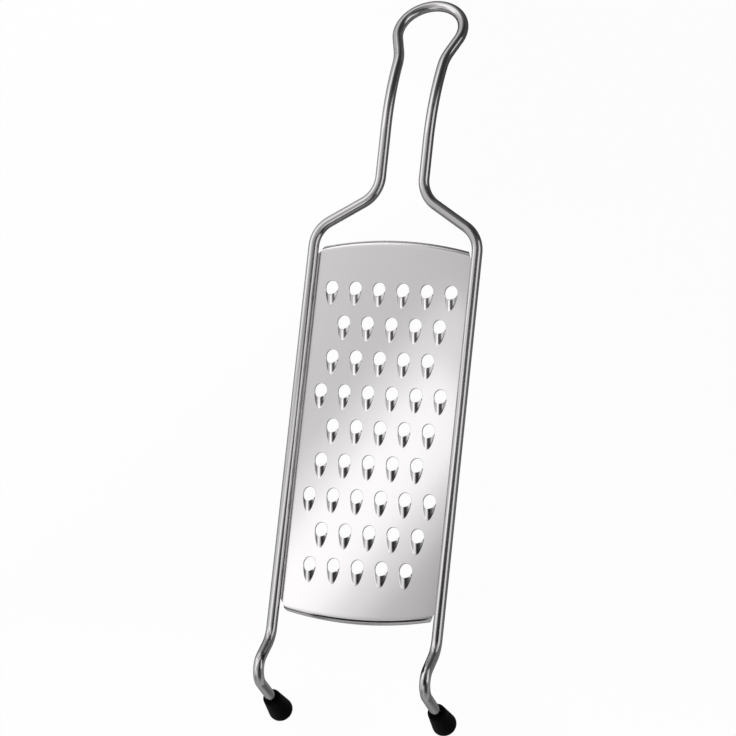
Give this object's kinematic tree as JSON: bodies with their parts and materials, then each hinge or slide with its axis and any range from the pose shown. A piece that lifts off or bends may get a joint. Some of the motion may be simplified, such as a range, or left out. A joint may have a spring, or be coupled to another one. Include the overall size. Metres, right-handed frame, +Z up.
{
  "type": "coarse grater",
  "caption": "Flat hand grater: a bent round-wire frame with a looped handle and S-bent legs on rubber feet holds a pressed steel plate of raised scoop teeth for coarse shreds.",
  "frame": {"origin": "on the table the grater stands on, under the middle of its bounding box", "axes": "+Y along the grater from the feet to the handle loop, +Z up out of the plate's grating side, +X to the right seen from above with the handle away"},
  "size_m": [0.1096, 0.4126, 0.0475],
  "materials": {
    "polished_wire": "polished stainless steel",
    "satin_plate": "satin stainless steel",
    "black_rubber": "matte"
  },
  "bodies": {
    "root": {"wire_frame": "polished_wire", "grating_plate": "satin_plate", "foot_cap_left": "black_rubber", "foot_cap_right": "black_rubber"}
  },
  "joints": []
}
